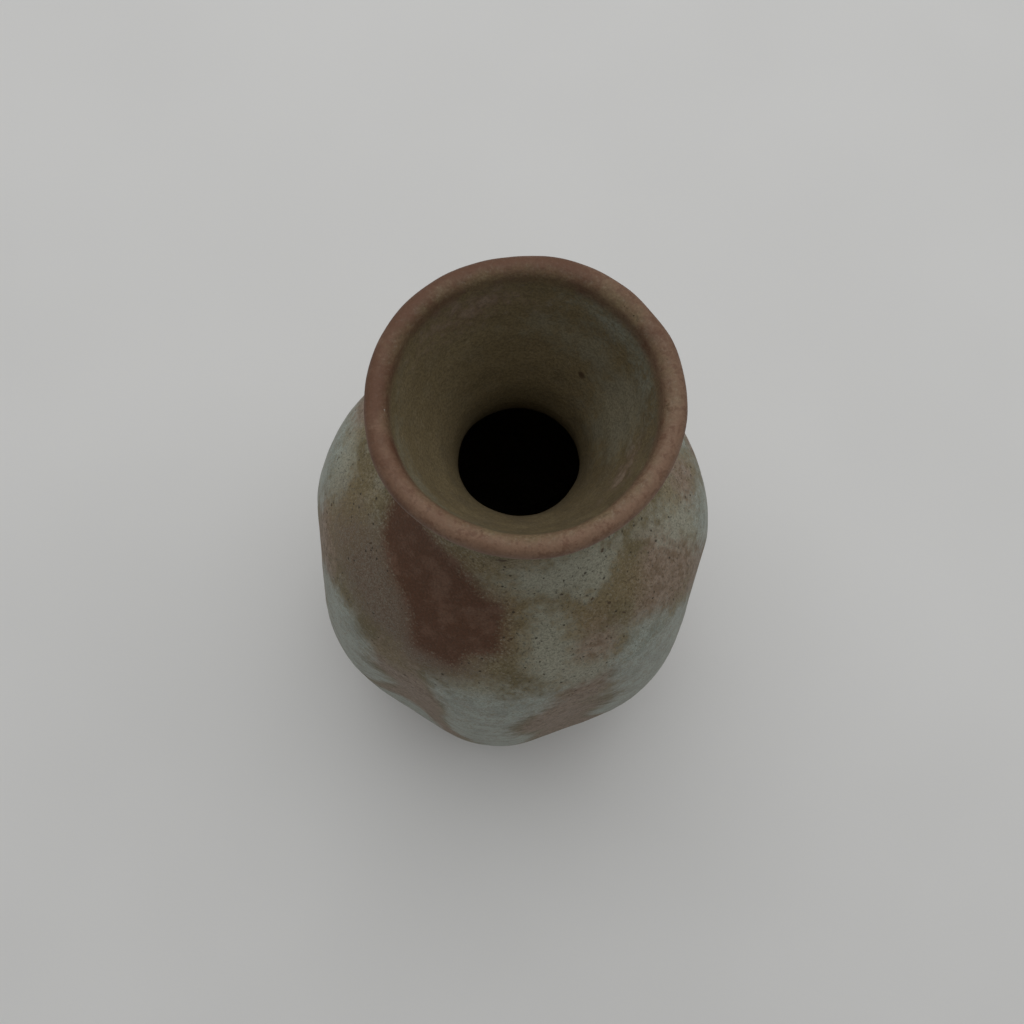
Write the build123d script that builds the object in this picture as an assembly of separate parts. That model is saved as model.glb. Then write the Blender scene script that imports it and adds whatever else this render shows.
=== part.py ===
from build123d import *
import math
import os

# A small wheel-thrown stoneware bud vase, in millimetres. The origin is the middle of the foot on
# the surface that the vase stands on, and +Z is up. The belly is pressed into seven soft lobes, the
# shoulder closes to a narrow throat, and the mouth opens again like a trumpet.
# The clay is one fired piece. The glaze is four thin coats on it, each a solid of its own.

# Silhouette of the clay: radius and height of each place that sets the line of the pot.
FOOT_RADIUS = 22.5
BELLY_RADIUS = 35.5
BELLY_HEIGHT = 28.0
SHOULDER_RADIUS = 29.0
SHOULDER_HEIGHT = 84.0
THROAT_RADIUS = 11.7
THROAT_HEIGHT = 110.0
MOUTH_RADIUS = 16.6
LIP_HEIGHT = 133.0

# Lean of the line at each place: how far it runs outward for each millimetre that it rises.
FOOT_LEAN = 0.75
BELLY_LEAN = 0.0
SHOULDER_LEAN = -0.31
THROAT_LEAN = 0.0
MOUTH_LEAN = 0.2

# Clay wall and floor.
WALL_AT_FOOT = 5.0
WALL_AT_THROAT = 3.4
WALL_AT_LIP = 1.6
FLOOR_THICKNESS = 5.0
FLOOR_CENTRE_RADIUS = 4.0
FLOOR_CORNER_RISE = 7.0

# Foot ring, trimmed on the wheel once the clay is leather hard.
FOOT_RING_WIDTH = 5.0
FOOT_RECESS_DEPTH = 3.0
FOOT_RECESS_SLOPE = 2.0

# Upright grooves, pressed into the soft wall with a finger.
LOBES = 7
GROOVE_DEPTH = 2.2
GROOVE_MIDDLE = 50.0
GROOVE_REACH = 46.0
GROOVE_SHARPNESS = 1.4
FIRST_GROOVE_ANGLE = 38.6

# Glaze.
GLAZE_THICKNESS = 0.5
BARE_FOOT_HEIGHT = 5.0
LIP_BAND_HEIGHT = 3.0

# How finely the surface is drawn.
POINTS_PER_LOBE = 8
RING_SPACING = 6.0
RINGS_OVER_LIP = 5
BANDS_IN_FLOOR_CORNER = 6
SEARCH_STEPS = 40


def pot_line():
    """Line of the clay's outer face in the XZ plane, from the foot to where the lip turns over."""
    lip_tilt = math.sin(math.atan(MOUTH_LEAN))
    turn_height = LIP_HEIGHT - WALL_AT_LIP / 2 * (1 + lip_tilt)
    places = [
        (FOOT_RADIUS, 0, 0),
        (BELLY_RADIUS, 0, BELLY_HEIGHT),
        (SHOULDER_RADIUS, 0, SHOULDER_HEIGHT),
        (THROAT_RADIUS, 0, THROAT_HEIGHT),
        (MOUTH_RADIUS, 0, turn_height),
    ]
    leans = [FOOT_LEAN, BELLY_LEAN, SHOULDER_LEAN, THROAT_LEAN, MOUTH_LEAN]
    return Spline(*places, tangents=[(lean, 0, 1) for lean in leans])


LINE = pot_line()
LIP_LINE = LIP_HEIGHT - LIP_BAND_HEIGHT
FLOOR_HEIGHT = FOOT_RECESS_DEPTH + FLOOR_THICKNESS


def groove_depth(height):
    """Depth of the grooves at a height: full at their middle and nothing past their reach."""
    share = min(abs(height - GROOVE_MIDDLE) / GROOVE_REACH, 1)
    return GROOVE_DEPTH * math.cos(share * math.pi / 2) ** 2


def hoop(ring):
    """One closed line round the pot, pulled in at each groove."""
    depth = groove_depth(ring.Y)
    count = LOBES * POINTS_PER_LOBE
    points = []
    for index in range(count):
        turn = 2 * math.pi * index / count
        press = (0.5 + 0.5 * math.cos(LOBES * turn)) ** GROOVE_SHARPNESS
        reach = ring.X - depth * press
        angle = turn + math.radians(FIRST_GROOVE_ANGLE)
        points.append((reach * math.cos(angle), reach * math.sin(angle), ring.Y))
    steps = [index / count for index in range(count + 1)]
    return Wire([Edge.make_spline(points, periodic=True, parameters=steps)])


def outside(share, coat):
    """Point on the outer face at a share of the line's length: X is the radius, Y the height."""
    point = LINE @ share
    along = LINE % share
    return Vector(point.X + along.Z * coat, point.Z - along.X * coat)


def share_at(face, coat, height):
    """Share of the line at which a face reaches a height, found by halving the line."""
    low = 0.0
    high = 1.0
    for _ in range(SEARCH_STEPS):
        middle = (low + high) / 2
        if face(middle, coat).Y < height:
            low = middle
        else:
            high = middle
    return low


THROAT_SHARE = share_at(outside, 0, THROAT_HEIGHT)


def wall_at(share):
    """Wall thickness: an even taper from the foot to the throat, then a quick one into the lip."""
    if share < THROAT_SHARE:
        return WALL_AT_FOOT + (WALL_AT_THROAT - WALL_AT_FOOT) * share / THROAT_SHARE
    rise = (share - THROAT_SHARE) / (1 - THROAT_SHARE)
    return WALL_AT_LIP + (WALL_AT_THROAT - WALL_AT_LIP) * (1 - rise) ** 4 * (1 + 4 * rise)


def inside(share, coat):
    """Point on the inner face, straight through the wall from the outer one."""
    return outside(share, -wall_at(share) - coat)


def at_height(face, coat, height):
    """Point of a face at a height."""
    return Vector(face(share_at(face, coat, height), coat).X, height)


def wall_rings(face, coat, start, end):
    """Rings along a face, evenly spaced from one height to another."""
    count = max(round(abs(end - start) / RING_SPACING), 1)
    return [at_height(face, coat, start + (end - start) * step / count) for step in range(count + 1)]


def skin(rings, straight=False):
    """Faces of the surface through the hoops at these rings, smooth or in straight bands."""
    return Shell.make_loft([hoop(ring) for ring in rings], ruled=straight).faces()


def flat_ring(ring, other):
    """Flat face between two hoops at one height."""
    wider, narrower = sorted([ring, other], key=lambda place: -place.X)
    return Face(hoop(wider), [hoop(narrower)])


def disc(ring):
    """Flat face that fills a hoop."""
    return Face(hoop(ring))


def closed(faces):
    """A solid from faces that meet edge to edge."""
    return Solid(Shell(faces))


def outer_zone(coat):
    """Outside, from the edge of the bare foot to the lip line."""
    return wall_rings(outside, coat, BARE_FOOT_HEIGHT, LIP_LINE)


def lip_zone(coat):
    """Over the round lip, from the lip line outside to the lip line inside."""
    outer = outside(1, coat)
    inner = inside(1, coat)
    middle = (outer + inner) / 2
    rings = [at_height(outside, coat, LIP_LINE)]
    for index in range(RINGS_OVER_LIP):
        turn = 180 * index / (RINGS_OVER_LIP - 1)
        rings.append(middle + (outer - middle).rotate(Axis.Z, turn))
    return rings + [at_height(inside, coat, LIP_LINE)]


def mouth_zone(coat):
    """Inside the trumpet mouth, from the lip line down to the throat."""
    return wall_rings(inside, coat, LIP_LINE, THROAT_HEIGHT)


def inner_zone(coat):
    """Inside the belly, from the throat down to where the wall turns in to the floor."""
    floor = FLOOR_HEIGHT + coat
    return wall_rings(inside, coat, THROAT_HEIGHT, floor + FLOOR_CORNER_RISE)


def floor_zone(coat):
    """Round the corner of the floor, a quarter of an ellipse, to its level middle."""
    corner = inner_zone(coat)[-1]
    rings = [corner]
    for index in range(1, BANDS_IN_FLOOR_CORNER + 1):
        turn = math.pi / 2 * index / BANDS_IN_FLOOR_CORNER
        radius = FLOOR_CENTRE_RADIUS + (corner.X - FLOOR_CENTRE_RADIUS) * math.cos(turn)
        rings.append(Vector(radius, corner.Y - FLOOR_CORNER_RISE * math.sin(turn)))
    return rings


def glaze_coat(zone):
    """Coat on a zone that ends in a flat edge at both of its hoops."""
    clay = zone(0)
    glaze = zone(GLAZE_THICKNESS)
    edges = [flat_ring(clay[0], glaze[0]), flat_ring(clay[-1], glaze[-1])]
    return closed(skin(clay) + skin(glaze) + edges)


def inner_coat():
    """Coat of the room inside, from the throat down the wall and all over the floor."""
    faces = [flat_ring(inner_zone(0)[0], inner_zone(GLAZE_THICKNESS)[0])]
    for coat in (0, GLAZE_THICKNESS):
        faces += skin(inner_zone(coat)) + skin(floor_zone(coat), straight=True)
        faces.append(disc(floor_zone(coat)[-1]))
    return closed(faces)


def foot_recess():
    """The shallow turned hollow inside the foot ring."""
    edge = FOOT_RADIUS - FOOT_RING_WIDTH
    outline = Polyline(
        (0, 0, 0),
        (edge, 0, 0),
        (edge - FOOT_RECESS_SLOPE, 0, FOOT_RECESS_DEPTH),
        (0, 0, FOOT_RECESS_DEPTH),
        close=True,
    )
    return revolve(make_face(outline), Axis.Z)


def clay_body():
    """The thrown pot: its whole skin from the foot over the lip to the floor, less the recess."""
    bare_foot = wall_rings(outside, 0, 0, BARE_FOOT_HEIGHT)
    faces = [disc(bare_foot[0]), disc(floor_zone(0)[-1])]
    for rings in (bare_foot, outer_zone(0), lip_zone(0), mouth_zone(0), inner_zone(0)):
        faces += skin(rings)
    faces += skin(floor_zone(0), straight=True)
    return closed(faces) - foot_recess()


nodes = {
    "stoneware_body": clay_body(),
    "outer_glaze": glaze_coat(outer_zone),
    "lip_glaze": glaze_coat(lip_zone),
    "mouth_glaze": glaze_coat(mouth_zone),
    "inner_glaze": inner_coat(),
}

os.makedirs("parts", exist_ok=True)
for name, shape in nodes.items():
    export_step(shape, f"parts/{name}.step")
    print(name, round(shape.volume / 1000, 2), "cm3")
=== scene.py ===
# %% [markdown]
# # A glazed stoneware bud vase
#
# This lesson dresses a finished CAD model of a small vase: one thrown clay pot with four thin
# coats of glaze on it. The CAD model fixes every size and place. Blender adds what the maker's
# hands and the kiln add: rings from the wheel, a wavering lip, glaze that pools and breaks, iron
# specks, and the bare foot.

# %% Load the frame
import math

import bmesh
import bpy
import numpy as np
from mathutils import Matrix, Vector, noise


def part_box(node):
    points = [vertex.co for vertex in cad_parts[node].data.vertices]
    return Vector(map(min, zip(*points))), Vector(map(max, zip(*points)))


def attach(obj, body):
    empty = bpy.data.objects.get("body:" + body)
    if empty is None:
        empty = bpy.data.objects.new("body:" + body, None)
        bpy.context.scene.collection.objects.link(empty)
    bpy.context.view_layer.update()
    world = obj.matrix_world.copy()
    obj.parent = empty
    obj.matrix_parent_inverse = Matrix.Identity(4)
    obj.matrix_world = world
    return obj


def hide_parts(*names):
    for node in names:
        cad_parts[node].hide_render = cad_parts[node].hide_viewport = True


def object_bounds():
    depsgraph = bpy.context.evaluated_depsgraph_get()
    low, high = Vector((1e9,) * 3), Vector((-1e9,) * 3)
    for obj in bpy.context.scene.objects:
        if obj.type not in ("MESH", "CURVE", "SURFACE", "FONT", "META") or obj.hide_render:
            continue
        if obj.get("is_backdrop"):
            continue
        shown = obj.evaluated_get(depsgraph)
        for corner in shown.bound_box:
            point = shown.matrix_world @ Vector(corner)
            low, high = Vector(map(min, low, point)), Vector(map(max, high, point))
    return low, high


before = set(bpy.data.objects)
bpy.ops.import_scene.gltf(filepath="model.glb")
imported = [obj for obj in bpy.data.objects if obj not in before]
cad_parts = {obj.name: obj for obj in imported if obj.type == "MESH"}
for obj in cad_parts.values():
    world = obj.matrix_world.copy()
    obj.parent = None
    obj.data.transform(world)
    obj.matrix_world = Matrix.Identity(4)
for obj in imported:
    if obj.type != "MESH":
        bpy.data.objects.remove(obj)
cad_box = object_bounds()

for node in sorted(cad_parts):
    low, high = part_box(node)
    print(node, "from", [round(v * 1000, 1) for v in low], "to", [round(v * 1000, 1) for v in high])

# %% [markdown]
# ## The camera and the light
#
# The vase stands on a pale table and is seen from nearly straight above, a little from the front,
# so the open mouth is close to the lens and the belly spreads out under it. That strong
# perspective needs the right distance more than the right lens, so both are set together.
# The light is two big soft windows behind the vase with a pale room all round. Large area lights
# and an even world colour are enough: nothing in this scene throws a hard shadow. The view
# transform is Standard, so that a colour mixed in a recipe looks on screen as it was mixed.

# %% Camera
CAMERA_PLACE = (-0.0001, -0.0355, 0.2334)
CAMERA_TILT = math.radians(13.0)
CAMERA_ROLL = math.radians(6.3)
CAMERA_LENS = 35.2

camera_data = bpy.data.cameras.new("camera")
camera_data.lens = CAMERA_LENS
camera_data.sensor_width = 36.0
camera_data.clip_start = 0.005
camera = bpy.data.objects.new("camera", camera_data)
bpy.context.collection.objects.link(camera)
tilt = Matrix.Rotation(CAMERA_TILT, 4, "X")
roll = Matrix.Rotation(CAMERA_ROLL, 4, "Z")
camera.matrix_world = Matrix.Translation(CAMERA_PLACE) @ tilt @ roll
bpy.context.scene.camera = camera

# %% Light
def soft_light(name, place, size, power):
    """A square area light that faces the middle of the vase."""
    data = bpy.data.lights.new(name, "AREA")
    data.shape = "SQUARE"
    data.size = size
    data.energy = power
    light = bpy.data.objects.new(name, data)
    bpy.context.collection.objects.link(light)
    light.location = place
    aim = Vector((0, 0, 0.06)) - Vector(place)
    light.rotation_euler = aim.to_track_quat("-Z", "Y").to_euler()
    return light


bpy.context.scene.view_settings.view_transform = "Standard"
soft_light("window_right", (0.32, 0.30, 0.90), 1.0, 2.8)
soft_light("window_left", (-0.30, 0.40, 0.90), 1.0, 3.1)
world = bpy.data.worlds.new("room")
bpy.context.scene.world = world
world.use_nodes = True
room = world.node_tree.nodes["Background"]
room.inputs["Color"].default_value = (0.95, 0.95, 0.95, 1)
room.inputs["Strength"].default_value = 0.27

# %% [markdown]
# ## The line of the pot
#
# A thrown pot is a line turned round an axis. The line is given as five places, from the foot to
# where the lip turns over, and how far the line leans outward at each. A Hermite curve through
# them is smooth, and it is how a potter thinks: belly, shoulder, throat, mouth. Lengths here are
# millimetres, and the meshes are made in metres at the end.

# %% Sizes of the pot, in millimetres
MM = 0.001
GLAZE = 0.5
WALL_AT_FOOT = 5.0
WALL_AT_THROAT = 3.4
WALL_AT_LIP = 1.6
LIP_HEIGHT = 133.0
LIP_LINE = 130.0
THROAT_HEIGHT = 110.0
GLAZE_LINE = 5.0
FLOOR_HEIGHT = 8.0
FLOOR_CORNER_RISE = 7.0
MOUTH_LEAN = 0.2
turn_height = LIP_HEIGHT - WALL_AT_LIP / 2 * (1 + math.sin(math.atan(MOUTH_LEAN)))
PLACES = [(22.5, 0.0), (35.5, 28.0), (29.0, 84.0), (11.7, THROAT_HEIGHT), (16.6, turn_height)]
LEANS = [0.75, 0.0, -0.31, 0.0, MOUTH_LEAN]


# %% Draw the line
def unit(vectors):
    """Rows scaled to length one."""
    return vectors / np.linalg.norm(vectors, axis=-1, keepdims=True)


def smooth_line(places, leans, steps=300):
    """Hermite curve through the places, leaning as asked at each."""
    points = np.array(places, float)
    aims = unit(np.array([(lean, 1.0) for lean in leans]))
    t = np.linspace(0, 1, steps, endpoint=False)[:, None]
    pieces = []
    for start, end, aim, next_aim in zip(points, points[1:], aims, aims[1:]):
        length = np.linalg.norm(end - start)
        blend = 3 * t**2 - 2 * t**3
        bulge = (t**3 - 2 * t**2 + t) * aim + (t**3 - t**2) * next_aim
        pieces.append(start + blend * (end - start) + bulge * length)
    return np.vstack(pieces + [points[-1:]])


LINE = smooth_line(PLACES, LEANS)
steps_along = np.r_[0, np.cumsum(np.linalg.norm(np.diff(LINE, axis=0), axis=1))]
LINE_LENGTH = steps_along[-1]
SHARE = steps_along / LINE_LENGTH
OUTWARD = unit(np.gradient(LINE, axis=0))[:, ::-1] * (1, -1)
throat_share = np.interp(THROAT_HEIGHT, LINE[:, 1], SHARE)
rise = np.clip((SHARE - throat_share) / (1 - throat_share), 0, 1)
wall_below = WALL_AT_FOOT + (WALL_AT_THROAT - WALL_AT_FOOT) * SHARE / throat_share
wall_above = WALL_AT_LIP + (WALL_AT_THROAT - WALL_AT_LIP) * (1 - rise) ** 4 * (1 + 4 * rise)
WALL = np.where(SHARE < throat_share, wall_below, wall_above)


def face_line(inside, coat):
    """The clay's outer or inner face, with a coat of this thickness on it."""
    distance = -WALL - coat if inside else np.full_like(WALL, coat)
    return LINE + OUTWARD * distance[:, None]


print("line of the pot:", round(LINE_LENGTH, 1), "mm long, widest", round(LINE[:, 0].max(), 2))

# %% [markdown]
# ## The hand in it
#
# Seven grooves were pressed into the belly with a finger while the clay was soft. They run up
# the wall and fade out at the foot and the shoulder. Nothing made by hand is exact, so the lip
# wavers, the mouth is a shade oval, the front grooves are pressed deeper, and no two are quite
# alike. These small moves are made to the mesh itself, because they show in the outline.

# %% Grooves and wobble
LOBES = 7
FIRST_GROOVE = math.radians(38.6)
GROOVE_DEPTH = 2.2
GROOVE_MIDDLE = 50.0
GROOVE_REACH = 46.0
GROOVE_SHARPNESS = 1.4
THROWING_PITCH = 4.4
FRONT_PRESSED_DEEPER = 0.30
LIP_CORNER_ANGLE = math.radians(30)
LIP_CORNER_WIDTH = 0.16
LIP_CORNER_REACH = 0.22
LIP_SETTLING = 0.30


def eased(value, low, high):
    """0 below low, 1 above high, and a smooth step between."""
    t = np.clip((value - low) / (high - low), 0, 1)
    return t * t * (3 - 2 * t)


def press(angle):
    """How hard a finger pressed at this angle: 1 in the middle of a groove, 0 on a lobe."""
    return (0.5 + 0.5 * np.cos(LOBES * (angle - FIRST_GROOVE))) ** GROOVE_SHARPNESS


def groove_depth(height):
    """Depth of the grooves at a height."""
    share = np.minimum(np.abs(height - GROOVE_MIDDLE) / GROOVE_REACH, 1)
    return GROOVE_DEPTH * np.cos(share * math.pi / 2) ** 2


def by_hand(radius, height, angle):
    """Where a point of the turned form ends up once hands have been on it."""
    uneven = 1 + 0.10 * np.sin(2 * angle + 0.6) + 0.06 * np.sin(3 * angle + 2.0)
    uneven = uneven + FRONT_PRESSED_DEEPER * eased(-np.sin(angle), 0.5, 0.85)
    radius = radius - groove_depth(height) * press(angle) * uneven
    upper = eased(height, 100, LIP_HEIGHT)
    away = (angle - LIP_CORNER_ANGLE + math.pi) % (2 * math.pi) - math.pi
    corner = LIP_CORNER_REACH * np.exp(-((away / LIP_CORNER_WIDTH) ** 2))
    oval = 0.16 * np.cos(2 * angle - 0.7) + 0.09 * np.cos(5 * angle)
    waver = 0.18 * np.sin(angle + 0.8) + 0.12 * np.sin(3 * angle)
    return radius + upper * (oval + corner), height + upper * (waver - LIP_SETTLING)


# %% [markdown]
# ## Where the glaze pooled and where it broke
#
# This glaze is pale blue-green where it lies thick, mustard where it is thinner, mauve-brown where
# the iron in the clay comes through, and chocolate where an iron wash was brushed on under it.
# Each colour gets a map: a number at each vertex that says how far inside its patch the vertex is,
# in millimetres. The material turns the maps into ragged stains. A map is cheap, it stays put when
# the vase moves, and its edge can be drawn much finer than the mesh.

# %% Patches on the outside: angle in degrees, height, half width, half height, lean in degrees
POOLS = [
    (-41, 83, 7, 8, 0), (-90, 79, 8, 6, 0), (-143, 77, 8, 8, 0), (170, 84, 8, 6, 0),
    (4, 84, 5, 6, 0), (27, 91, 3, 4, 0), (118, 92, 7, 8, 10), (88, 84, 6, 7, 0), (40, 82, 5, 6, 0),
    (-12, 62, 5, 14, 6), (150, 58, 6, 16, -8), (66, 34, 9, 12, 0), (-120, 30, 8, 10, 0),
]
THIN_POOLS = [
    (-60, 102.5, 8, 3.6, 0), (-47, 101, 4.5, 4, 20), (-72, 93, 3.4, 8.5, 0), (-4, 92, 3, 7, 10),
    (-64, 88, 5, 3.5, 0), (176, 90, 5, 4, 0), (64, 100, 7, 5, -10), (140, 101, 6, 4, 0),
    (-95, 86, 6, 3, 0),
]
MAUVES = [
    (-21, 92, 8, 7, -6), (14, 92, 6, 3, 20), (-58, 91, 3.4, 3.4, 0), (44, 92, 8, 6, 10),
    (100, 98, 8, 4, 0), (146, 90, 7, 7, 0), (-63, 82, 4.5, 9, 0), (-164, 86, 5, 6, 0),
    (-20, 40, 7, 16, 10), (110, 44, 8, 12, 0), (-54, 95, 2.6, 2.4, 0),
]
DUSKS = [(-135, 92.5, 13, 5.6, -6), (-112, 90, 6.5, 4, 0), (70, 58, 12, 12, 0)]
OCHRES = [
    (-84, 98, 3.6, 7, 0), (-55, 97, 6, 4, 0), (-37, 97, 4, 5, 0), (-168, 92, 8, 5, 0),
    (-104, 104, 7, 2, 0), (15, 100, 7, 5, 0), (80, 92, 8, 6, 0), (128, 102, 7, 4, 0),
    (-98, 89, 5, 3, 0), (-122, 83, 4, 4, 0),
]
# Two strokes of the wash brush, each an outline of corners: angle in degrees and height.
SHOULDER_WASH = [
    (-170, 101), (-150, 103.5), (-118, 103), (-101, 100.5), (-90, 99), (-89, 93.5), (-99, 92.5),
    (-103, 90), (-117, 90), (-126, 94.5), (-152, 97),
]
BELLY_WASH = [(62, 66), (84, 62), (92, 44), (80, 36), (66, 48)]
# Patches inside the mouth, laid on its inner face.
MOUTH_POOLS = [(44, 130.0, 5.0, 1.5, 0)]
MOUTH_THINS = [(18, 122, 4.5, 6.5, 0), (-140, 129, 5, 1.5, 0), (60, 124, 5, 2, 0)]
MOUTH_MAUVES = [(124, 128.5, 4, 1.6, 0), (-20, 126, 2, 1.6, 0)]
RUST_SPOT = [(53, 120, 0.7, 0.55, 30)]
# Over these heights the pool on each lobe gives out, one lobe after another round the pot.
POOL_TOPS = [84, 88, 86, 82, 85, 86, 85]


# %% [markdown]
# ## How deep inside a patch?
#
# An oval patch is a blob of glaze laid flat on the wall, so its depth is measured in the plane that
# touches the wall at its middle. A brushed stroke is an outline with corners, so the wall is rolled
# out flat and the distance to the nearest side is taken. Texture painting would do the same job,
# but it would have seams and a fixed fineness.

# %% Measure how far inside a patch a point lies
OUTSIDE = -30.0


def blob_map(points, blobs, face):
    """Depth inside the nearest of some oval patches that lie on a face of the pot."""
    best = np.full(len(points), OUTSIDE)
    for degrees, height, half_width, half_height, lean in blobs:
        turn = math.radians(degrees)
        low, high = (np.interp(height + step, face[:, 1], face[:, 0]) for step in (-0.5, 0.5))
        upward = unit(np.array([high - low, 1.0]))
        across_way = np.array([-math.sin(turn), math.cos(turn), 0])
        up_way = np.array([upward[0] * math.cos(turn), upward[0] * math.sin(turn), upward[1]])
        spoke = np.array([math.cos(turn), math.sin(turn), 0])
        offset = points - spoke * (low + high) / 2 - (0, 0, height)
        across, along = offset @ across_way, offset @ up_way
        cos, sin = math.cos(math.radians(lean)), math.sin(math.radians(lean))
        across, along = across * cos + along * sin, along * cos - across * sin
        reach = np.hypot(across / half_width, along / half_height)
        depth = (1 - reach) * min(half_width, half_height)
        best = np.maximum(best, np.where(points @ spoke > 0, depth, OUTSIDE))
    return best


def stroke_map(angle, height, corners):
    """Depth inside a brushed outline, measured on the wall as if it were rolled out flat."""
    corners = np.array(corners, float)
    middle = math.radians(corners[:, 0].mean())

    def rolled_out(turn, level):
        away = (turn - middle + math.pi) % (2 * math.pi) - math.pi
        return np.c_[away * np.interp(level, LINE[:, 1], LINE[:, 0]),
                     np.interp(level, LINE[:, 1], SHARE) * LINE_LENGTH]

    flat = rolled_out(angle, height)
    outline = rolled_out(np.radians(corners[:, 0]), corners[:, 1])
    nearest = np.full(len(flat), 1e9)
    inside = np.zeros(len(flat), bool)
    for start, end in zip(outline, np.roll(outline, -1, axis=0)):
        edge = end - start
        share = np.clip((flat - start) @ edge / (edge @ edge), 0, 1)
        nearest = np.minimum(nearest, np.linalg.norm(flat - start - share[:, None] * edge, axis=1))
        crosses = (start[1] > flat[:, 1]) != (end[1] > flat[:, 1])
        rise = edge[1] if edge[1] else 1e-9
        left_of = flat[:, 0] < start[0] + (flat[:, 1] - start[1]) / rise * edge[0]
        inside ^= crosses & left_of
    return np.clip(np.where(inside, nearest, -nearest), OUTSIDE, None)


# %% [markdown]
# ## All the maps at once
#
# Down the belly the glaze drew itself off each groove and gathered on each lobe, so two of the
# maps follow the grooves instead of a list of patches. A slow drift keeps those bands from running
# dead straight. A point counts as outside when it is no deeper than about half the wall, once the
# groove it lies in is allowed for: without that, a deep groove would be taken for the inside.

# %% The maps
HALF_WALL = 1.6
GROOVE_TO_MM = 10
LOBE_EDGE = 0.38
GROOVE_EDGE = 0.58
GROOVE_TOP = 88
POOL_FOOT = 12
# Painted light and shade is laid round the pot from this side: 1 here, -1 on the opposite side.
PAINTED_LIGHT_AND_SHADE_SIDE = math.radians(135)
LIP_MIDDLE = (16.35, 131.85)
LIP_REACH = 1.95


def glaze_maps(points):
    """All maps for these points, by name, in millimetres inside the patch."""
    angle = np.arctan2(points[:, 1], points[:, 0])
    radius = np.hypot(points[:, 0], points[:, 1])
    height = points[:, 2]
    outer, inner = face_line(False, GLAZE), face_line(True, GLAZE)
    drift = 0.09 * np.sin(height / 12 + 3 * angle) + 0.05 * np.sin(height / 5.3 - 5 * angle + 1)
    pressed = press(angle + drift)
    spread = 0.10 * np.sin(2 * angle + height / 22) + 0.06 * np.sin(4 * angle - height / 14)
    lobe = (angle - FIRST_GROOVE) / (2 * math.pi) * LOBES - 0.5
    tops = np.array(POOL_TOPS, float)
    whole = np.floor(lobe).astype(int)
    part = eased(lobe - whole, 0.3, 0.7)
    top = tops[whole % LOBES] * (1 - part) + tops[(whole + 1) % LOBES] * part
    on_lobe = np.minimum((LOBE_EDGE + spread - pressed) * GROOVE_TO_MM, (top - height) * 0.8)
    on_lobe = np.minimum(on_lobe, (height - POOL_FOOT) * 0.5)
    in_groove = (pressed - GROOVE_EDGE - spread) * GROOVE_TO_MM
    in_groove = np.minimum(in_groove, (GROOVE_TOP - height) * 0.6)
    wash = np.maximum(stroke_map(angle, height, SHOULDER_WASH), stroke_map(angle, height, BELLY_WASH))
    unpressed = radius + groove_depth(height) * press(angle)
    is_outside = unpressed > np.interp(height, LINE[:, 1], LINE[:, 0]) - HALF_WALL
    lip = LIP_REACH - np.hypot(radius - LIP_MIDDLE[0], height - LIP_MIDDLE[1])

    def either(out_map, in_map):
        return np.where(is_outside, out_map, in_map)

    return {
        "pool": either(np.maximum(on_lobe, blob_map(points, POOLS, outer)),
                       blob_map(points, MOUTH_POOLS, inner)),
        "thin": either(blob_map(points, THIN_POOLS, outer), blob_map(points, MOUTH_THINS, inner)),
        "dusk": either(blob_map(points, DUSKS, outer), OUTSIDE),
        "mauve": either(np.maximum(in_groove, blob_map(points, MAUVES, outer)),
                        blob_map(points, MOUTH_MAUVES, inner)),
        "ochre": either(blob_map(points, OCHRES, outer), OUTSIDE),
        "rust": either(OUTSIDE, blob_map(points, RUST_SPOT, inner)),
        "wash": either(wash, OUTSIDE),
        "lip": lip,
        "within": either(0.0, 1.0),
        # Painted light and shade round the pot: it lightens the mouth's inner wall and darkens the lip
        # towards the back-left.
        "painted_light_and_shade": np.cos(angle - PAINTED_LIGHT_AND_SHADE_SIDE),
    }


# %% [markdown]
# ## Turning the meshes
#
# Each piece is a closed line turned round in many columns: its front, which shows, and its back,
# which lies on the clay. Every point of the front also knows which way it faces, so relief can
# be raised on it: faint rings from the wheel, the slow swell of uneven glaze, and the extra
# thickness of a pool.

# %% Helpers for lines
COLUMNS = 42 * LOBES
FINE = 0.7
COARSE = 2.5


def evenly(points, spacing):
    """The same line with points about this far apart."""
    points = np.asarray(points, float)
    run = np.r_[0, np.cumsum(np.linalg.norm(np.diff(points, axis=0), axis=1))]
    wanted = np.linspace(0, run[-1], max(int(round(run[-1] / spacing)), 1) + 1)
    return np.c_[np.interp(wanted, run, points[:, 0]), np.interp(wanted, run, points[:, 1])]


def stretch_of(line, start, end, spacing):
    """Part of a rising line from one height to another, upward or downward."""
    low, high = min(start, end), max(start, end)
    ends = [(np.interp(height, line[:, 1], line[:, 0]), height) for height in (low, high)]
    middle = line[(line[:, 1] > low) & (line[:, 1] < high)]
    points = evenly(np.vstack([ends[:1], middle, ends[1:]]), spacing)
    return points if end > start else points[::-1]


def lip_arc(coat, spacing):
    """Half a circle over the lip, from the outer face to the inner one."""
    outer, inner = face_line(False, coat)[-1], face_line(True, coat)[-1]
    middle, spoke = (outer + inner) / 2, (outer - inner) / 2
    turns = np.linspace(0, math.pi, int(math.pi * np.linalg.norm(spoke) / spacing) + 1)
    square = np.array([-spoke[1], spoke[0]])
    return middle + np.outer(np.cos(turns), spoke) + np.outer(np.sin(turns), square)


def floor_curve(coat, spacing):
    """From the inner wall round the corner of the floor to its middle."""
    floor = FLOOR_HEIGHT + coat
    corner = stretch_of(face_line(True, coat), floor + FLOOR_CORNER_RISE, 100, COARSE)[0]
    turns = np.linspace(0, math.pi / 2, 40)
    curve = np.c_[corner[0] * np.cos(turns), corner[1] - FLOOR_CORNER_RISE * np.sin(turns)]
    curve[-1] = (0, floor)
    return evenly(curve, spacing)


def joined(*lines):
    """Lines end to end, without doubled points."""
    points = np.vstack(lines)
    keep = np.r_[True, np.linalg.norm(np.diff(points, axis=0), axis=1) > 1e-3]
    return points[keep]


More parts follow.
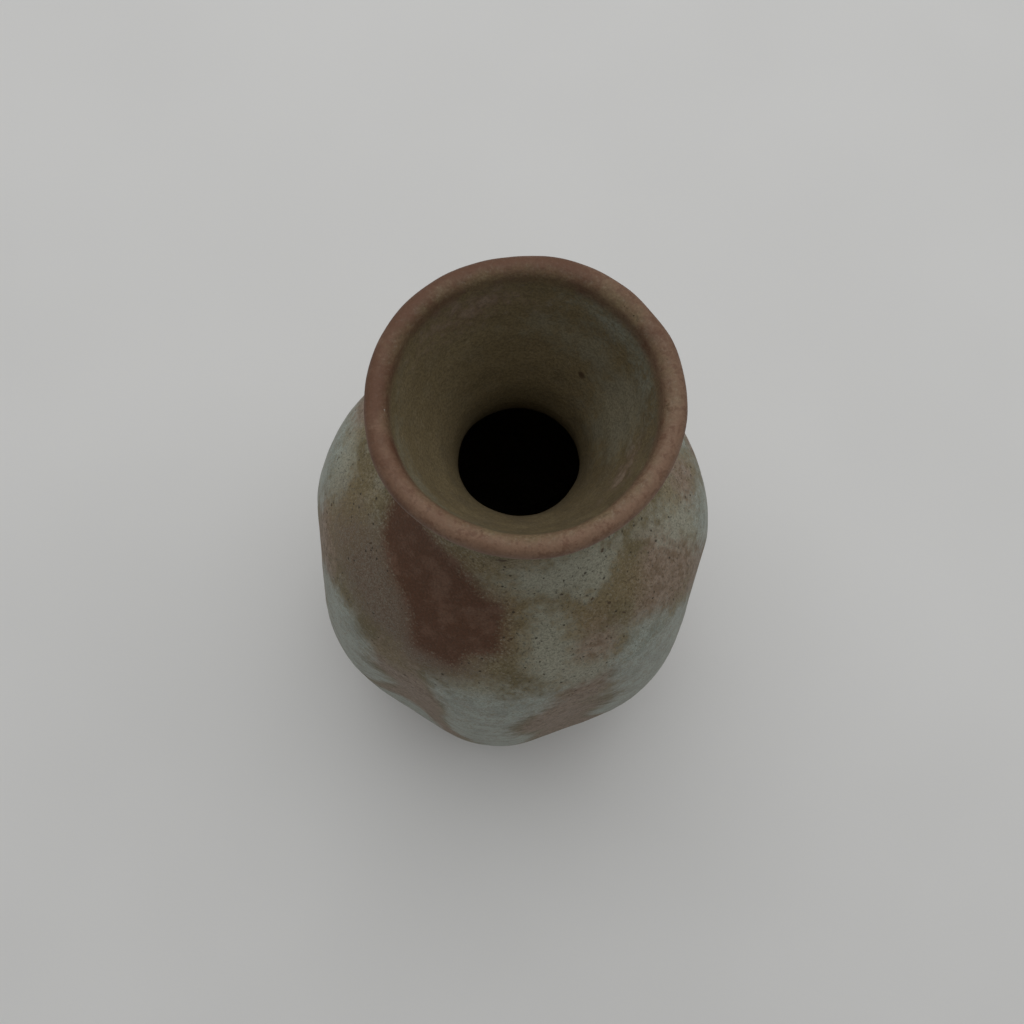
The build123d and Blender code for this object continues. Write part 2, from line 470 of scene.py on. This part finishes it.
# %% [markdown]
# ## Relief
#
# Real glaze isn't flat: it swells a little, carries faint rings from the wheel under it, and stands
# proud where it pooled. Bump alone would leave the edge of the lip too clean, so the slow part of
# this is moved in the mesh, and only the fine orange-peel is left to the material.

# %% Raise relief on a glazed face
def swell(points, size, seed):
    """Smooth noise from -1 to 1 at each point, with hills of about this size."""
    shift = Vector((seed, -seed, 2 * seed))
    return np.array([noise.noise(Vector(point) / size + shift) for point in points])


def relief(points, facing, maps):
    """How far each point of a glazed face stands out from the even coat, in millimetres."""
    angle = np.arctan2(points[:, 1], points[:, 0])
    rings = np.sin(2 * math.pi * points[:, 2] / THROWING_PITCH + angle) * (0.03 + 0.01 * facing)
    waves = 0.10 * swell(points, 7.0, 3.1) + 0.04 * swell(points, 2.4, 8.7)
    thick = 0.10 * eased(maps["pool"], -2, 3) - 0.06 * eased(maps["wash"], -1, 1)
    return rings + waves + thick


# %% [markdown]
# ## From a line to a piece
#
# A Screw modifier would turn a line as well, but here each ring of points has to be pressed,
# wobbled and mapped on its own, so the rings are made in code. Points on the axis are welded into
# one, and every piece is checked for open edges, because a skin has to be closed.

# %% Turn a front and a back into a mesh
def turned(name, front, back, move=None, raise_relief=True):
    """A closed mesh from a line turned round the axis; relief is raised on its front only."""
    path = np.vstack([front, back]) if len(back) else np.array(front)
    count = len(path)
    facing = unit(np.gradient(front, axis=0))[:, ::-1] * (1, -1)
    angle = np.tile(np.linspace(-math.pi, math.pi, COLUMNS, endpoint=False), count)
    radius, height = np.repeat(path, COLUMNS, axis=0).T
    on_axis = radius < 1e-6
    if move is not None:
        radius, height = move(radius, height, angle)
    radius, height = by_hand(radius, height, angle)
    radius[on_axis] = 0
    points = np.c_[radius * np.cos(angle), radius * np.sin(angle), height]
    maps = glaze_maps(points)
    if raise_relief:
        shown = slice(0, len(front) * COLUMNS)
        way = np.repeat(facing, COLUMNS, axis=0)
        raised = relief(points[shown], way[:, 0], {key: maps[key][shown] for key in maps})
        spokes = np.c_[np.cos(angle[shown]), np.sin(angle[shown])]
        points[shown, :2] += spokes * (way[:, 0] * raised)[:, None]
        points[shown, 2] += way[:, 1] * raised

    index = np.arange(count * COLUMNS).reshape(count, COLUMNS)
    faces = []
    for row in range(count):
        after = (row + 1) % count
        if path[row, 0] > 0 or path[after, 0] > 0:
            low, high = index[row], index[after]
            faces += np.c_[low, np.roll(low, -1), np.roll(high, -1), high].tolist()
    mesh = bpy.data.meshes.new(name)
    mesh.from_pydata((points * MM).tolist(), [], faces)
    for key, values in maps.items():
        layer = mesh.attributes.new(key, "FLOAT", "POINT")
        layer.data.foreach_set("value", np.asarray(values, np.float32))
    return finished_piece(name, mesh)


def finished_piece(name, mesh):
    """Weld the points on the axis, face every side outward, and put the mesh in the scene."""
    form = bmesh.new()
    form.from_mesh(mesh)
    middle = [vertex for vertex in form.verts if vertex.co.xy.length < 1e-7]
    bmesh.ops.remove_doubles(form, verts=middle, dist=1e-6)
    bmesh.ops.recalc_face_normals(form, faces=form.faces)
    volume = form.calc_volume()
    open_edges = sum(len(edge.link_faces) != 2 for edge in form.edges)
    form.to_mesh(mesh)
    form.free()
    mesh.shade_smooth()
    mesh.set_sharp_from_angle(angle=math.radians(40))
    piece = bpy.data.objects.new(name, mesh)
    bpy.context.collection.objects.link(piece)
    size = round(volume * 1e6, 2)
    print(name, len(mesh.vertices), "vertices,", size, "cm3,", open_edges, "open edges")
    return piece


# %% [markdown]
# ## The clay pot
#
# The pot is turned as one line from the middle of its underside to the middle of its floor:
# across the trimmed recess, down and round the foot ring, up the outside, over the lip and down
# the inside. Most of it is under glaze. What shows is the foot, so that is where the trimming
# tool's fine rings and the softened edges go.

# %% Make the clay pot
FOOT_RADIUS = PLACES[0][0]
RING_INSIDE = FOOT_RADIUS - 5.0
RECESS_RADIUS = RING_INSIDE - 2.0
RECESS_DEPTH = 3.0
SOFT_EDGE = 0.5


def foot_line():
    """The underside, from the axis out to where the outer wall starts to rise."""
    recess = evenly([(0, RECESS_DEPTH), (RECESS_RADIUS - SOFT_EDGE, RECESS_DEPTH)], 0.5)
    recess[:, 1] += 0.09 * np.sin(recess[:, 0] * 2 * math.pi / 2.2) * eased(recess[:, 0], 0, 3)
    slope = evenly([(RECESS_RADIUS, RECESS_DEPTH - SOFT_EDGE / 2), (RING_INSIDE - 0.2, SOFT_EDGE)], 0.5)
    sole = evenly([(RING_INSIDE + 0.2, 0.06), (RING_INSIDE + 0.8, 0.0), (FOOT_RADIUS - 0.8, 0.0)], 0.5)
    heel = [(FOOT_RADIUS - 0.25, 0.08), (FOOT_RADIUS + 0.2, 0.38)]
    return joined(recess, slope, sole, heel)


outer_clay, inner_clay = face_line(False, 0), face_line(True, 0)
clay_line = joined(
    foot_line(),
    stretch_of(outer_clay, 0.8, GLAZE_LINE + 3, 0.4),
    stretch_of(outer_clay, GLAZE_LINE + 3, outer_clay[-1, 1], COARSE),
    lip_arc(0, 0.8),
    stretch_of(inner_clay, inner_clay[-1, 1], FLOOR_HEIGHT + FLOOR_CORNER_RISE, COARSE),
    floor_curve(0, COARSE),
)
clay_pot = turned("clay_pot", clay_line, (), raise_relief=False)

# %% [markdown]
# ## The glaze coats
#
# Glaze is glass melted onto clay, half a millimetre thick here. Each coat is a closed skin: its
# back lies on the clay and its front is the surface that shows. The four coats meet edge to
# edge and use the same relief and the same maps, so no join can be seen between them. The outer
# coat ends above the foot in a thick rolled edge, where the glaze stopped running.

# %% The outer coat
EDGE_WAVE = 0.45
BEAD = 0.3
BEAD_HEIGHT = 1.3


def wavering(radius, height, angle):
    """Let the lower edge of the glaze rise and fall a little round the foot."""
    wave = np.sin(2 * angle + 1.2) + 0.6 * np.sin(5 * angle) + 0.3 * np.sin(11 * angle + 2)
    lift = EDGE_WAVE * wave * (1 - eased(height, GLAZE_LINE + BEAD_HEIGHT, GLAZE_LINE + 12))
    moved = height + lift
    before, after = (np.interp(level, LINE[:, 1], LINE[:, 0]) for level in (height, moved))
    return radius + after - before, moved


outer_glaze_line, inner_glaze_line = face_line(False, GLAZE), face_line(True, GLAZE)
outer_front = stretch_of(outer_glaze_line, GLAZE_LINE + BEAD_HEIGHT, LIP_LINE, FINE)
bulge = BEAD * np.exp(-((outer_front[:, 1] - GLAZE_LINE - BEAD_HEIGHT) / 1.5) ** 2)
outer_front += unit(np.gradient(outer_front, axis=0))[:, ::-1] * (1, -1) * bulge[:, None]
outer_back = stretch_of(outer_clay, LIP_LINE, GLAZE_LINE, COARSE)
roll = np.linspace(0, 1, 9)[:-1, None]
toe, top = outer_back[-1], outer_front[0]
corner = np.array([top[0] - 0.2, GLAZE_LINE - 0.1])
rolled_edge = (1 - roll) ** 2 * toe + 2 * roll * (1 - roll) * corner + roll**2 * top
outer_coat = turned("outer_coat", joined(rolled_edge, outer_front), outer_back[:-1], wavering)

# %% [markdown]
# ## The coat over the lip
#
# Glaze runs off a sharp edge as it melts, so a lip is where it is thinnest and where the clay's
# colour breaks through. This coat is turned with the finest steps, because the lip is nearest the
# eye. It starts and ends on the same rings as its neighbours.

# %% Make the lip coat
lip_front = joined(
    stretch_of(outer_glaze_line, LIP_LINE, outer_glaze_line[-1, 1], 0.35),
    lip_arc(GLAZE, 0.35),
    stretch_of(inner_glaze_line, inner_glaze_line[-1, 1], LIP_LINE, 0.35),
)
lip_back = joined(
    stretch_of(inner_clay, LIP_LINE, inner_clay[-1, 1], 0.8),
    lip_arc(0, 0.8)[::-1],
    stretch_of(outer_clay, outer_clay[-1, 1], LIP_LINE, 0.8),
)
lip_coat = turned("lip_coat", lip_front, lip_back)

# %% [markdown]
# ## The mouth and the room inside
#
# The flared mouth is glazed down to the throat and seen from above, so it is turned finely. Under
# the throat it is nearly dark, and a coarser coat is enough: it only has to be there, so
# that the hole reads as a glazed hollow.

# %% Make the mouth coat
mouth_front = stretch_of(inner_glaze_line, LIP_LINE, THROAT_HEIGHT, 0.5)
mouth_back = stretch_of(inner_clay, THROAT_HEIGHT, LIP_LINE, COARSE)
mouth_coat = turned("mouth_coat", mouth_front, mouth_back)

# %% Make the inner coat
room_foot = FLOOR_HEIGHT + FLOOR_CORNER_RISE
room_front = joined(
    stretch_of(inner_glaze_line, THROAT_HEIGHT, room_foot + GLAZE, 1.2),
    floor_curve(GLAZE, 1.2),
)
room_back = joined(
    floor_curve(0, COARSE)[::-1],
    stretch_of(inner_clay, room_foot, THROAT_HEIGHT, COARSE),
)
inner_coat = turned("inner_coat", room_front, room_back)

# %% [markdown]
# ## A short way to build materials
#
# A procedural material is a recipe: noises of several sizes, mixed by masks. Written node by node
# it is long and hard to read, so a small helper holds the node tree and gives each kind of
# ingredient one line. All textures use the object's own coordinates, so they are continuous from
# one coat to the next, and all sizes are given in millimetres.

# %% The recipe helper
class Recipe:
    """A material that is put together one ingredient at a time."""

    def __init__(self, name):
        self.material = bpy.data.materials.new(name)
        self.material.use_nodes = True
        self.tree = self.material.node_tree
        self.shader = self.tree.nodes["Principled BSDF"]
        self.place = self.add("ShaderNodeTexCoord").outputs["Object"]

    def add(self, kind, inputs=None, **settings):
        """One node, with its settings, and each input set to a value or wired to an output."""
        new_node = self.tree.nodes.new(kind)
        for key, value in settings.items():
            setattr(new_node, key, value)
        for key, value in (inputs or {}).items():
            if isinstance(value, bpy.types.NodeSocket):
                self.tree.links.new(value, new_node.inputs[key])
            else:
                new_node.inputs[key].default_value = value
        return new_node

    def grain(self, size, detail=2.0, rough=0.5, squeeze=(1, 1, 1)):
        """Cloudy noise around 0.5, with clouds of this size in millimetres."""
        place = self.place
        if squeeze != (1, 1, 1):
            place = self.add("ShaderNodeMapping", {"Vector": place, "Scale": squeeze}).outputs["Vector"]
        inputs = {"Vector": place, "Scale": 1 / (size * MM), "Detail": detail, "Roughness": rough}
        return self.add("ShaderNodeTexNoise", inputs).outputs["Fac"]

    def spots(self, spacing):
        """A dot in each cell, bent a little out of round: its distance, and a number drawn for it."""
        bend = self.add("ShaderNodeTexNoise", {"Vector": self.place, "Scale": 3 / (spacing * MM)})
        inputs = {0: bend.outputs["Color"], 1: [0.45 * spacing * MM] * 3, 2: self.place}
        bent = self.add("ShaderNodeVectorMath", inputs, operation="MULTIPLY_ADD").outputs["Vector"]
        cells = self.add("ShaderNodeTexVoronoi", {"Vector": bent, "Scale": 1 / (spacing * MM)})
        drawn = self.add("ShaderNodeSeparateColor", {"Color": cells.outputs["Color"]})
        return cells.outputs["Distance"], drawn.outputs["Red"]

    def map(self, name):
        """The value of one of the maps painted on the mesh."""
        return self.add("ShaderNodeAttribute", attribute_name=name).outputs["Fac"]

    def math(self, operation, *values):
        """A sum on numbers or outputs."""
        return self.add("ShaderNodeMath", dict(enumerate(values)), operation=operation).outputs[0]

    def step(self, value, low, high, to_low=0.0, to_high=1.0):
        """A smooth step: to_low below low, to_high above high."""
        inputs = {"Value": value, "From Min": low, "From Max": high, "To Min": to_low, "To Max": to_high}
        return self.add("ShaderNodeMapRange", inputs, interpolation_type="SMOOTHSTEP").outputs["Result"]

    def stain(self, name, softness, *clouds):
        """A map turned into a stain from 0 to 1; each cloud moves its edge by so many millimetres."""
        moved, middle = self.map(name), 0.0
        for cloud, amount in clouds:
            moved = self.math("MULTIPLY_ADD", cloud, amount, moved)
            middle += amount / 2
        return self.step(moved, middle - softness, middle + softness)

    def mix(self, share, first, second):
        """Two colours mixed, where share is a number or an output."""
        colour_mix = self.add("ShaderNodeMix", data_type="RGBA")
        for socket, value in zip((0, 6, 7), (share, first, second)):
            if isinstance(value, bpy.types.NodeSocket):
                self.tree.links.new(value, colour_mix.inputs[socket])
            elif socket == 0:
                colour_mix.inputs[socket].default_value = value
            else:
                colour_mix.inputs[socket].default_value = (*value, 1)
        return colour_mix.outputs[2]

    def finish(self, colour, roughness, height, depth):
        """Wire up the surface; depth is how deep the bump is, in millimetres."""
        bump = self.add("ShaderNodeBump", {"Height": height, "Distance": depth * MM})
        self.tree.links.new(colour, self.shader.inputs["Base Color"])
        self.tree.links.new(roughness, self.shader.inputs["Roughness"])
        self.tree.links.new(bump.outputs["Normal"], self.shader.inputs["Normal"])
        return self.material


# %% [markdown]
# ## The glaze
#
# The base is olive to khaki outside and a warmer olive in the mouth, where the inner wall is painted
# lighter towards the back-left and browner towards the front-right as light and shade. Over it come
# the stains, each with its own kind of edge: mauve and ochre drift in, thin and deep pools have a
# ragged shore, a speckled dusk lies beside the wash, and the brushed wash ends almost sharply inside
# a softer halo.
# At the lip the glaze runs thin and the red clay shows through, toasted in clouds and painted darker
# towards the back-left as shade. Last come pale grains, iron specks, rusty pits and a few white dots,
# fewest where the glaze is thick or brushed. The surface is satin to matt, so most of its life is in
# small changes of colour.

# %% Colours of the glaze
OLIVE = (0.158, 0.126, 0.062)
KHAKI = (0.238, 0.196, 0.116)
GREY_GREEN = (0.262, 0.246, 0.184)
WATERED_CELADON = (0.345, 0.345, 0.268)
CELADON = (0.345, 0.385, 0.335)
DEEP_CELADON = (0.258, 0.288, 0.244)
MAUVE = (0.318, 0.236, 0.178)
MAUVE_BROWN = (0.208, 0.142, 0.094)
DUSK = (0.140, 0.092, 0.064)
PALE_GRAIN = (0.300, 0.262, 0.205)
MUSTARD = (0.205, 0.155, 0.074)
CHOCOLATE = (0.102, 0.043, 0.021)
ROSY_BROWN = (0.148, 0.076, 0.046)
TERRACOTTA = (0.205, 0.121, 0.076)
# BURNT_CLAY is toasting on the lip, and is also painted as shade on the lip's back-left side.
BURNT_CLAY = (0.130, 0.062, 0.035)
# In the mouth, MOUTH_OLIVE is painted as the lit side towards the back-left and MOUTH_BROWN as the
# shaded side towards the front-right, over cloudy patches of brown.
MOUTH_OLIVE = (0.205, 0.160, 0.084)
MOUTH_BROWN = (0.128, 0.095, 0.048)
IRON_SPECK = (0.030, 0.021, 0.010)
RUSTY_PIT = (0.060, 0.034, 0.016)
TITANIA_SPECK = (0.400, 0.370, 0.320)


# %% Mix the glaze
def mix_glaze(name):
    """The stoneware glaze, for any of the four coats."""
    glaze = Recipe(name)
    broad = glaze.grain(8.0, 3.0)
    cloud = glaze.grain(3.4, 5.0, 0.6)
    mottle = glaze.grain(1.2, 4.0, 0.65)
    grit = glaze.grain(0.42, 3.0, 0.65)
    sand = glaze.grain(0.30, 2.0, 0.6)
    within = glaze.map("within")

    colour = glaze.mix(glaze.step(broad, 0.40, 0.60), OLIVE, KHAKI)
    colour = glaze.mix(glaze.step(cloud, 0.48, 0.62, 0, 0.6), colour, GREY_GREEN)
    colour = glaze.mix(glaze.step(mottle, 0.50, 0.62, 0, 0.7), colour, OLIVE)
    # Painted light and shade in the mouth: its inner wall is lighter towards the back-left and browner
    # towards the front-right, with cloudy brown on top.
    painted_light_and_shade = glaze.map("painted_light_and_shade")
    shade = glaze.math("MULTIPLY_ADD", cloud, 4.0, glaze.math("MULTIPLY", painted_light_and_shade, -0.8))
    mouth_colour = glaze.mix(glaze.step(shade, 1.5, 3.3), MOUTH_OLIVE, MOUTH_BROWN)
    colour = glaze.mix(glaze.math("MULTIPLY", within, 0.85), colour, mouth_colour)

    mauve = glaze.stain("mauve", 2.2, (cloud, 8.0), (mottle, 5.0), (grit, 6.0))
    mauve_colour = glaze.mix(glaze.step(mottle, 0.40, 0.60), MAUVE_BROWN, MAUVE)
    colour = glaze.mix(glaze.math("MULTIPLY", mauve, 0.85), colour, mauve_colour)

    ochre = glaze.stain("ochre", 2.0, (cloud, 6.0), (mottle, 6.0), (grit, 5.0))
    colour = glaze.mix(glaze.math("MULTIPLY", ochre, 0.75), colour, MUSTARD)

    thin = glaze.stain("thin", 2.2, (cloud, 6.0), (mottle, 8.0), (grit, 5.0))
    faint = glaze.math("MULTIPLY", thin, glaze.step(within, 0, 1, 0.85, 0.35))
    colour = glaze.mix(faint, colour, WATERED_CELADON)

    pool = glaze.stain("pool", 2.2, (cloud, 5.0), (mottle, 7.0), (grit, 5.0))
    pool_colour = glaze.mix(glaze.step(cloud, 0.38, 0.62), DEEP_CELADON, CELADON)
    pool_colour = glaze.mix(glaze.step(mottle, 0.48, 0.62, 0, 0.55), pool_colour, GREY_GREEN)
    veins = glaze.grain(0.8, 3.0, 0.6)
    pool_colour = glaze.mix(glaze.step(veins, 0.54, 0.66, 0, 0.45), pool_colour, KHAKI)
    deep = glaze.math("MULTIPLY", pool, glaze.step(within, 0, 1, 0.92, 0.55))
    colour = glaze.mix(deep, colour, pool_colour)

    dusk = glaze.stain("dusk", 3.0, (cloud, 6.0), (grit, 7.0))
    dusk_colour = glaze.mix(glaze.step(grit, 0.48, 0.64), DUSK, PALE_GRAIN)
    colour = glaze.mix(glaze.math("MULTIPLY", dusk, 0.9), colour, dusk_colour)

    halo = glaze.step(glaze.math("MULTIPLY_ADD", grit, 5.0, glaze.map("wash")), -0.5, 4.0, 0, 0.7)
    colour = glaze.mix(halo, colour, ROSY_BROWN)
    wash = glaze.stain("wash", 1.1, (cloud, 3.0), (grit, 3.0))
    wash_colour = glaze.mix(glaze.step(cloud, 0.46, 0.66), CHOCOLATE, ROSY_BROWN)
    colour = glaze.mix(glaze.math("MULTIPLY", wash, 0.96), colour, wash_colour)

    lip = glaze.stain("lip", 0.65, (cloud, 1.2), (mottle, 0.8))
    # The lip is toasted in clouds and is also painted darker towards the back-left as shade.
    toast_and_painted_shade = glaze.step(glaze.math("MULTIPLY_ADD", cloud, 4.0, painted_light_and_shade), 1.2, 3.0)
    lip_colour = glaze.mix(toast_and_painted_shade, TERRACOTTA, BURNT_CLAY)
    lip_colour = glaze.mix(glaze.step(mottle, 0.50, 0.64, 0, 0.6), lip_colour, BURNT_CLAY)
    colour = glaze.mix(lip, colour, lip_colour)

    calm = glaze.math("MAXIMUM", glaze.math("MULTIPLY", pool, 0.6), glaze.math("MAXIMUM", wash, lip))
    calm = glaze.math("MAXIMUM", calm, glaze.math("MULTIPLY", within, 0.8))
    lively = glaze.math("SUBTRACT", 1.0, glaze.math("MULTIPLY", calm, 0.85))
    distance, drawn = glaze.spots(0.9)
    size = glaze.math("MULTIPLY", glaze.step(drawn, 0.40, 1.0, 0.0, 0.26), lively)
    speck = glaze.step(glaze.math("SUBTRACT", size, distance), -0.05, 0.10, 0, 0.85)
    pepper = glaze.math("MULTIPLY", glaze.step(grit, 0.53, 0.66, 0, 0.62), lively)
    pale = glaze.math("MULTIPLY", glaze.step(grit, 0.34, 0.47, 0.45, 0), lively)
    colour = glaze.mix(pale, colour, PALE_GRAIN)
    dust = glaze.math("MULTIPLY", glaze.step(sand, 0.42, 0.62, 0, 0.30), glaze.step(lip, 0, 1, 1, 0.4))
    dark = glaze.math("MAXIMUM", glaze.math("MAXIMUM", speck, pepper), dust)
    colour = glaze.mix(dark, colour, IRON_SPECK)
    distance, drawn = glaze.spots(2.6)
    size = glaze.math("MULTIPLY", glaze.step(drawn, 0.55, 1.0, 0.0, 0.15), lively)
    pit = glaze.step(glaze.math("SUBTRACT", size, distance), -0.02, 0.04, 0, 0.85)
    rust = glaze.step(glaze.map("rust"), -0.1, 0.3, 0, 0.85)
    colour = glaze.mix(glaze.math("MAXIMUM", pit, rust), colour, RUSTY_PIT)

    distance, drawn = glaze.spots(4.5)
    dot = glaze.math("SUBTRACT", glaze.step(drawn, 0.55, 1.0, 0, 0.055), distance)
    colour = glaze.mix(glaze.step(dot, 0.0, 0.03, 0, 0.8), colour, TITANIA_SPECK)

    roughness = glaze.step(glaze.math("MULTIPLY_ADD", mottle, 0.5, pool), 0.2, 1.3, 0.68, 0.50)
    skin = glaze.math("MULTIPLY_ADD", grit, 0.35, mottle)
    skin = glaze.math("SUBTRACT", skin, glaze.math("MULTIPLY", speck, 0.5))
    glaze.shader.inputs["Specular IOR Level"].default_value = 0.35
    return glaze.finish(colour, roughness, skin, 0.12)


for coat, slot_name in (
    (outer_coat, "outer_glaze"),
    (lip_coat, "lip_glaze"),
    (mouth_coat, "mouth_glaze"),
    (inner_coat, "inner_glaze"),
):
    coat.data.materials.append(mix_glaze(slot_name))
    print(coat.name, "is finished with", slot_name)

# %% [markdown]
# ## The bare clay
#
# Fired stoneware with iron in it is a warm red-brown, darker where the flame toasted it. It has
# grog, the crushed fired clay that gives it tooth, and the trimming tool drags fine rings in it.

# %% Mix the clay
CLAY = (0.235, 0.135, 0.085)
TOASTED_CLAY = (0.150, 0.078, 0.045)
GROG = (0.340, 0.250, 0.180)


def mix_clay(name):
    """Bare red stoneware."""
    clay = Recipe(name)
    toast = clay.grain(11.0, 3.0)
    mottle = clay.grain(1.6, 4.0, 0.6)
    grit = clay.grain(0.35, 2.0, 0.6)
    drag = clay.grain(0.5, 3.0, 0.6, (0.15, 0.15, 4.0))
    colour = clay.mix(clay.step(toast, 0.38, 0.62), TOASTED_CLAY, CLAY)
    colour = clay.mix(clay.step(mottle, 0.50, 0.70, 0, 0.5), colour, TOASTED_CLAY)
    distance, drawn = clay.spots(0.9)
    pale = clay.math("SUBTRACT", clay.step(drawn, 0.5, 1.0, 0, 0.26), distance)
    colour = clay.mix(clay.step(pale, 0, 0.05, 0, 0.8), colour, GROG)
    distance, drawn = clay.spots(1.7)
    dark = clay.math("SUBTRACT", clay.step(drawn, 0.5, 1.0, 0, 0.22), distance)
    colour = clay.mix(clay.step(dark, 0, 0.05), colour, IRON_SPECK)
    roughness = clay.step(mottle, 0.3, 0.7, 0.78, 0.92)
    tooth = clay.math("ADD", clay.math("MULTIPLY", grit, 0.6), drag)
    return clay.finish(colour, roughness, tooth, 0.15)


clay_pot.data.materials.append(mix_clay("bare_stoneware"))

# %% [markdown]
# ## Tie the pieces to the frame
#
# Nothing on a vase moves, so every piece rides on the one body. Each piece is listed with the CAD
# solid that it stands for, which is then hidden, and with the finish that it takes.

# %% Ride and replace
for piece, solid, finish_name in (
    (clay_pot, "stoneware_body", "bare_stoneware"),
    (outer_coat, "outer_glaze", "outer_glaze"),
    (lip_coat, "lip_glaze", "lip_glaze"),
    (mouth_coat, "mouth_glaze", "mouth_glaze"),
    (inner_coat, "inner_glaze", "inner_glaze"),
):
    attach(piece, "root")
    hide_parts(solid)

# %% [markdown]
# ## The table
#
# A plain pale table, wide enough to fill every view, with a slight tooth so that it isn't
# a perfect mirror-flat white.

# %% Make the table
TABLE_HALF = 1.5
table_mesh = bpy.data.meshes.new("table")
corners = [(x * TABLE_HALF, y * TABLE_HALF, 0) for x, y in ((-1, -1), (1, -1), (1, 1), (-1, 1))]
table_mesh.from_pydata(corners, [], [(0, 1, 2, 3)])
table = bpy.data.objects.new("table", table_mesh)
bpy.context.collection.objects.link(table)
table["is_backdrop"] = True

surface = Recipe("pale_table")
haze = surface.grain(60.0, 2.0)
table_colour = surface.mix(surface.step(haze, 0.3, 0.7), (0.75, 0.75, 0.738), (0.775, 0.775, 0.763))
table_mesh.materials.append(
    surface.finish(table_colour, surface.step(haze, 0.3, 0.7, 0.55, 0.65), surface.grain(0.8), 0.01))

# %% [markdown]
# ## Check the size
#
# The CAD model owns the size. The two boxes are written side by side, so a piece that has grown
# past its solid is seen at once.

# %% Compare with the frame
visual_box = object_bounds()
for word, box in (("CAD", cad_box), ("visual", visual_box)):
    print(word, [[round(v * 1000, 2) for v in corner] for corner in box])
